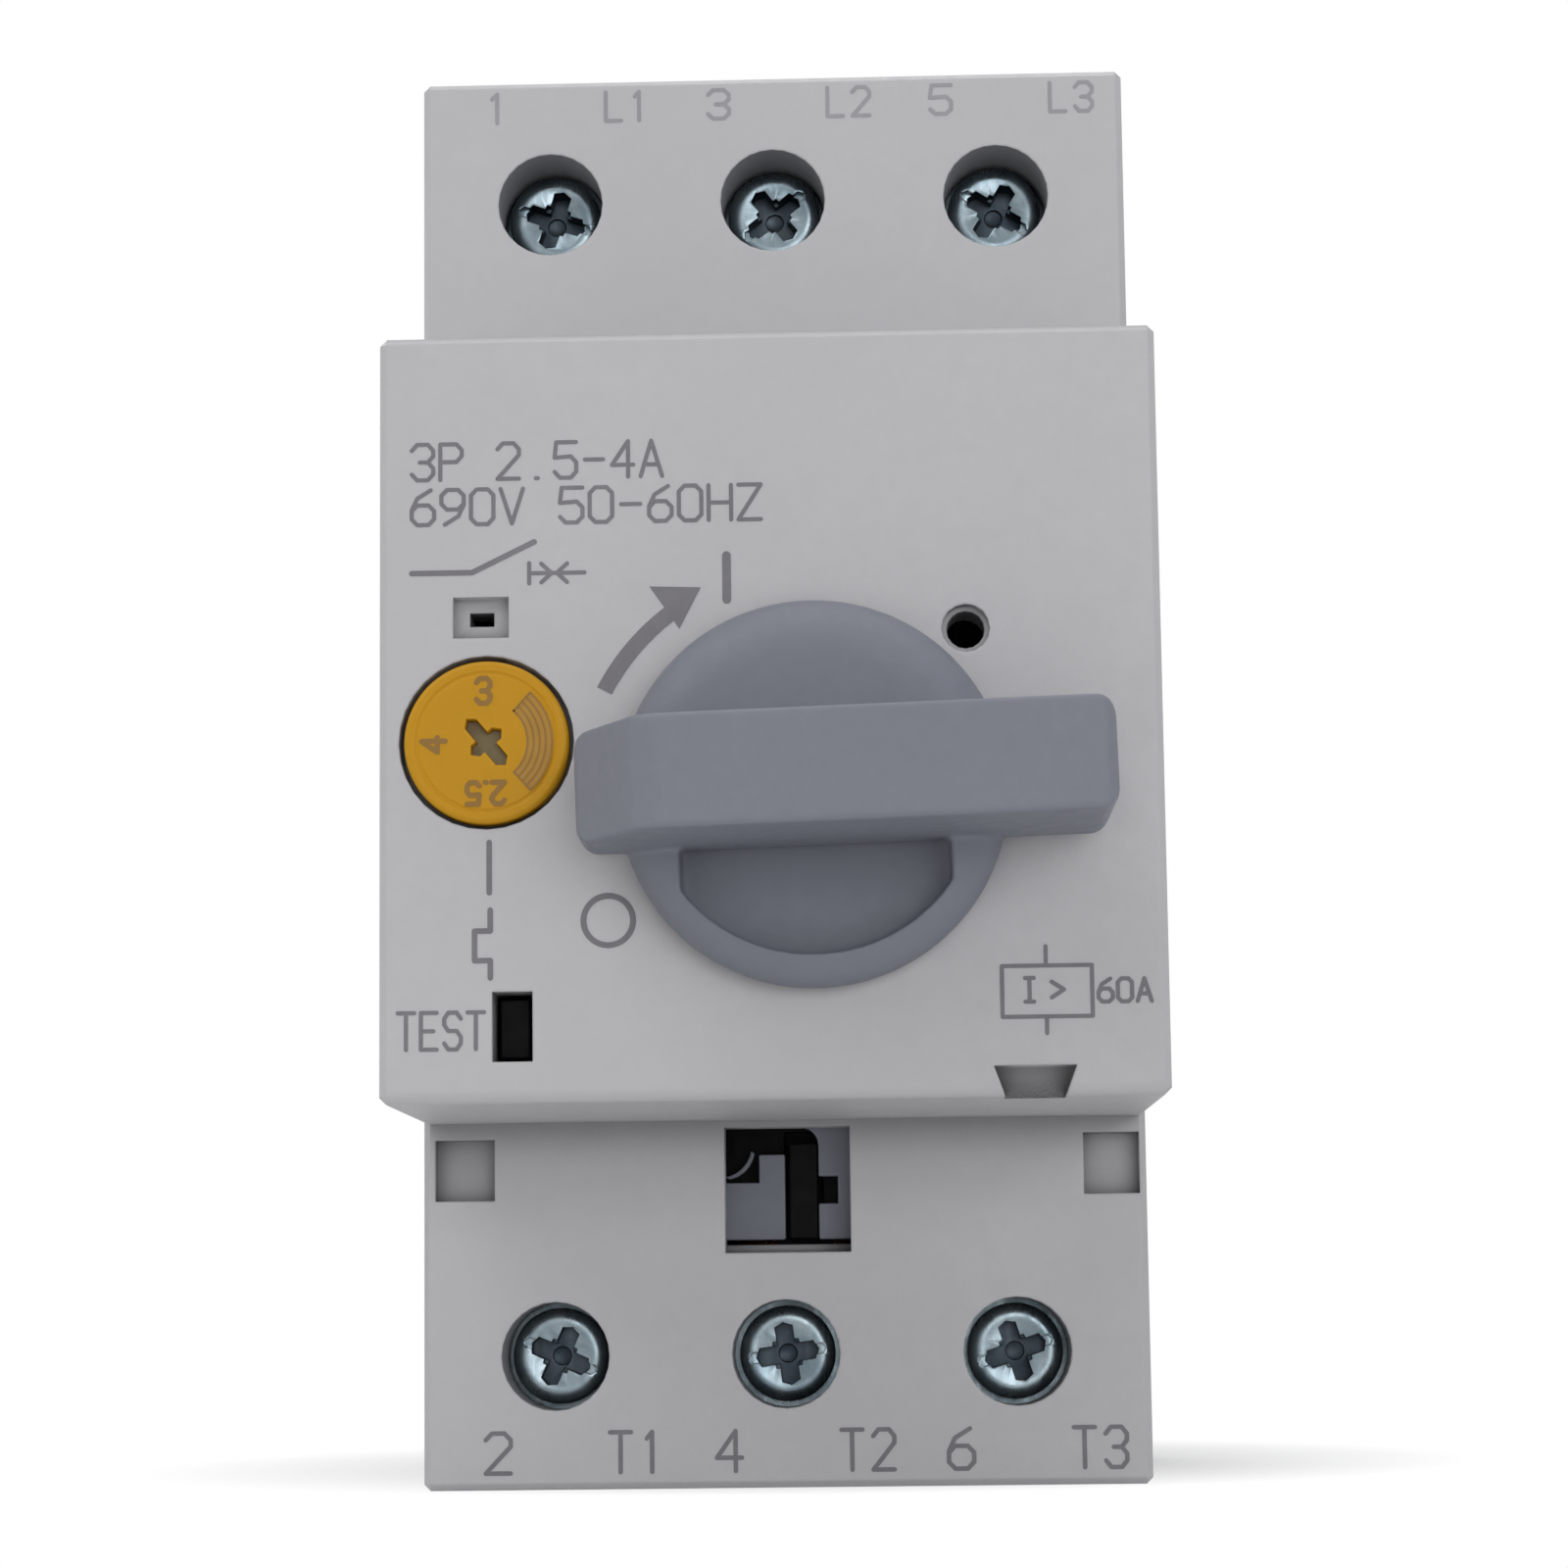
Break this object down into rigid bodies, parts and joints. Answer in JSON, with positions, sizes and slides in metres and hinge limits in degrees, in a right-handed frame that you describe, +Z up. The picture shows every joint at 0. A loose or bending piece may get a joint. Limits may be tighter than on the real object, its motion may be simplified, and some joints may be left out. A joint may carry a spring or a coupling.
{
  "type": "motor protective circuit breaker",
  "caption": "Grey three-pole motor-protective circuit breaker with rotary handle, yellow current dial, test slot and screw terminals, for rail mounting.",
  "frame": {"origin": "centre of the rail seat on the back, where the middle of a 35 mm top-hat rail's front face touches", "axes": "+X to the right seen from the front, +Y out of the back towards the rail, +Z up when mounted upright"},
  "size_m": [0.045, 0.076, 0.09],
  "materials": {
    "housing_grey": "light grey moulded thermoplastic, fine matt grain",
    "handle_grey": "mid grey moulded plastic, satin",
    "dial_yellow": "ochre yellow plastic, printed scale",
    "black_plastic": "black moulded plastic",
    "zinc_steel": "zinc plated steel, blue passivated",
    "spring_steel": "drawn spring wire",
    "copper": "bare copper strip and wire",
    "bimetal": "rolled bimetal strip",
    "fibre": "vulcanised fibre with splitter plates"
  },
  "bodies": {
    "root": {"rear_housing": "housing_grey", "front_cover": "housing_grey", "mechanism_bracket": "zinc_steel", "accessory_insert": "handle_grey", "rail_latch_spring": "spring_steel", "return_spring_left": "spring_steel", "return_spring_right": "spring_steel", "line_terminal_l1": "copper", "load_terminal_l1": "copper", "fixed_contact_l1": "copper", "trip_coil_l1": "copper", "bimetal_l1": "bimetal", "upper_arc_chute_l1": "fibre", "lower_arc_chute_l1": "fibre", "line_terminal_l2": "copper", "load_terminal_l2": "copper", "fixed_contact_l2": "copper", "trip_coil_l2": "copper", "bimetal_l2": "bimetal", "upper_arc_chute_l2": "fibre", "lower_arc_chute_l2": "fibre", "line_terminal_l3": "copper", "load_terminal_l3": "copper", "fixed_contact_l3": "copper", "trip_coil_l3": "copper", "bimetal_l3": "bimetal", "upper_arc_chute_l3": "fibre", "lower_arc_chute_l3": "fibre"},
    "handle": {"rotary_handle": "handle_grey", "handle_shaft": "zinc_steel", "drive_cam": "black_plastic"},
    "contact_carrier": {"contact_carrier": "black_plastic", "accessory_slider": "black_plastic", "contact_spring_l1": "spring_steel", "contact_spring_l2": "spring_steel", "contact_spring_l3": "spring_steel"},
    "dial": {"setting_dial": "dial_yellow"},
    "rail_latch": {"rail_latch": "black_plastic"},
    "test_pusher": {"test_pusher": "black_plastic"},
    "trip_bar": {"trip_bar": "black_plastic"},
    "latch_lever": {"latch_lever": "zinc_steel"},
    "contact_bridge_l1": {"contact_bridge_l1": "copper"},
    "trip_plunger_l1": {"trip_plunger_l1": "zinc_steel"},
    "line_clamp_l1": {"line_clamp_l1": "zinc_steel"},
    "line_screw_l1": {"line_screw_l1": "zinc_steel"},
    "load_clamp_l1": {"load_clamp_l1": "zinc_steel"},
    "load_screw_l1": {"load_screw_l1": "zinc_steel"},
    "contact_bridge_l2": {"contact_bridge_l2": "copper"},
    "trip_plunger_l2": {"trip_plunger_l2": "zinc_steel"},
    "line_clamp_l2": {"line_clamp_l2": "zinc_steel"},
    "line_screw_l2": {"line_screw_l2": "zinc_steel"},
    "load_clamp_l2": {"load_clamp_l2": "zinc_steel"},
    "load_screw_l2": {"load_screw_l2": "zinc_steel"},
    "contact_bridge_l3": {"contact_bridge_l3": "copper"},
    "trip_plunger_l3": {"trip_plunger_l3": "zinc_steel"},
    "line_clamp_l3": {"line_clamp_l3": "zinc_steel"},
    "line_screw_l3": {"line_screw_l3": "zinc_steel"},
    "load_clamp_l3": {"load_clamp_l3": "zinc_steel"},
    "load_screw_l3": {"load_screw_l3": "zinc_steel"}
  },
  "joints": [
    {"name": "handle_turn", "type": "hinge", "parent": "root", "child": "handle", "pos_m": [0.00245, -0.0585, -0.00505], "axis": [0, 1, 0], "range_deg": [0, 90]},
    {"name": "carrier_slide", "type": "slide", "parent": "root", "child": "contact_carrier", "axis": [0, 1, 0], "range_m": [0, 0.003], "deforming": ["return_spring_left", "return_spring_right"]},
    {"name": "dial_turn", "type": "hinge", "parent": "root", "child": "dial", "pos_m": [-0.0163, -0.0587, -0.0016], "axis": [0, 1, 0], "range_deg": [-135, 135]},
    {"name": "rail_latch_slide", "type": "slide", "parent": "root", "child": "rail_latch", "axis": [0, 0, -1], "range_m": [0, 0.004], "stiffness_N_per_m": 400, "deforming": ["rail_latch_spring"]},
    {"name": "test_press", "type": "slide", "parent": "root", "child": "test_pusher", "axis": [0, 1, 0], "range_m": [0, 0.0011], "stiffness_N_per_m": 150},
    {"name": "trip_bar_turn", "type": "hinge", "parent": "root", "child": "trip_bar", "pos_m": [0, -0.034, -0.0145], "axis": [1, 0, 0], "range_deg": [0, 15]},
    {"name": "latch_turn", "type": "hinge", "parent": "root", "child": "latch_lever", "pos_m": [-0.0079, -0.042, -0.0095], "axis": [1, 0, 0], "range_deg": [-10, 0]},
    {"name": "bridge_lift_l1", "type": "slide", "parent": "contact_carrier", "child": "contact_bridge_l1", "axis": [0, -1, 0], "range_m": [0, 0.0015], "stiffness_N_per_m": 100, "deforming": ["contact_spring_l1"]},
    {"name": "plunger_stroke_l1", "type": "slide", "parent": "root", "child": "trip_plunger_l1", "axis": [0, -1, 0], "range_m": [0, 0.002], "stiffness_N_per_m": 100},
    {"name": "line_screw_l1_turn", "type": "hinge", "parent": "line_clamp_l1", "child": "line_screw_l1", "pos_m": [-0.0143, -0.0365, 0.0368], "axis": [0, 1, 0], "range_deg": [0, 2070]},
    {"name": "line_clamp_l1_slide", "type": "slide", "parent": "root", "child": "line_clamp_l1", "axis": [0, 1, 0], "range_m": [0, 0.0046]},
    {"name": "load_screw_l1_turn", "type": "hinge", "parent": "load_clamp_l1", "child": "load_screw_l1", "pos_m": [-0.0143, -0.0365, -0.0368], "axis": [0, 1, 0], "range_deg": [0, 2070]},
    {"name": "load_clamp_l1_slide", "type": "slide", "parent": "root", "child": "load_clamp_l1", "axis": [0, 1, 0], "range_m": [0, 0.0046]},
    {"name": "bridge_lift_l2", "type": "slide", "parent": "contact_carrier", "child": "contact_bridge_l2", "axis": [0, -1, 0], "range_m": [0, 0.0015], "stiffness_N_per_m": 100, "deforming": ["contact_spring_l2"]},
    {"name": "plunger_stroke_l2", "type": "slide", "parent": "root", "child": "trip_plunger_l2", "axis": [0, -1, 0], "range_m": [0, 0.002], "stiffness_N_per_m": 100},
    {"name": "line_screw_l2_turn", "type": "hinge", "parent": "line_clamp_l2", "child": "line_screw_l2", "pos_m": [0, -0.0365, 0.0368], "axis": [0, 1, 0], "range_deg": [0, 2070]},
    {"name": "line_clamp_l2_slide", "type": "slide", "parent": "root", "child": "line_clamp_l2", "axis": [0, 1, 0], "range_m": [0, 0.0046]},
    {"name": "load_screw_l2_turn", "type": "hinge", "parent": "load_clamp_l2", "child": "load_screw_l2", "pos_m": [0, -0.0365, -0.0368], "axis": [0, 1, 0], "range_deg": [0, 2070]},
    {"name": "load_clamp_l2_slide", "type": "slide", "parent": "root", "child": "load_clamp_l2", "axis": [0, 1, 0], "range_m": [0, 0.0046]},
    {"name": "bridge_lift_l3", "type": "slide", "parent": "contact_carrier", "child": "contact_bridge_l3", "axis": [0, -1, 0], "range_m": [0, 0.0015], "stiffness_N_per_m": 100, "deforming": ["contact_spring_l3"]},
    {"name": "plunger_stroke_l3", "type": "slide", "parent": "root", "child": "trip_plunger_l3", "axis": [0, -1, 0], "range_m": [0, 0.002], "stiffness_N_per_m": 100},
    {"name": "line_screw_l3_turn", "type": "hinge", "parent": "line_clamp_l3", "child": "line_screw_l3", "pos_m": [0.0143, -0.0365, 0.0368], "axis": [0, 1, 0], "range_deg": [0, 2070]},
    {"name": "line_clamp_l3_slide", "type": "slide", "parent": "root", "child": "line_clamp_l3", "axis": [0, 1, 0], "range_m": [0, 0.0046]},
    {"name": "load_screw_l3_turn", "type": "hinge", "parent": "load_clamp_l3", "child": "load_screw_l3", "pos_m": [0.0143, -0.0365, -0.0368], "axis": [0, 1, 0], "range_deg": [0, 2070]},
    {"name": "load_clamp_l3_slide", "type": "slide", "parent": "root", "child": "load_clamp_l3", "axis": [0, 1, 0], "range_m": [0, 0.0046]}
  ],
  "couplings": [
    {"joint": "handle_turn", "follows": "carrier_slide", "rad_per_m": 523.59},
    {"joint": "trip_bar_turn", "follows": "test_press", "rad_per_m": 238},
    {"joint": "latch_turn", "follows": "test_press", "rad_per_m": -158.66},
    {"joint": "line_screw_l1_turn", "follows": "line_clamp_l1_slide", "rad_per_m": 7853.9},
    {"joint": "load_screw_l1_turn", "follows": "load_clamp_l1_slide", "rad_per_m": 7853.9},
    {"joint": "line_screw_l2_turn", "follows": "line_clamp_l2_slide", "rad_per_m": 7853.9},
    {"joint": "load_screw_l2_turn", "follows": "load_clamp_l2_slide", "rad_per_m": 7853.9},
    {"joint": "line_screw_l3_turn", "follows": "line_clamp_l3_slide", "rad_per_m": 7853.9},
    {"joint": "load_screw_l3_turn", "follows": "load_clamp_l3_slide", "rad_per_m": 7853.9}
  ]
}
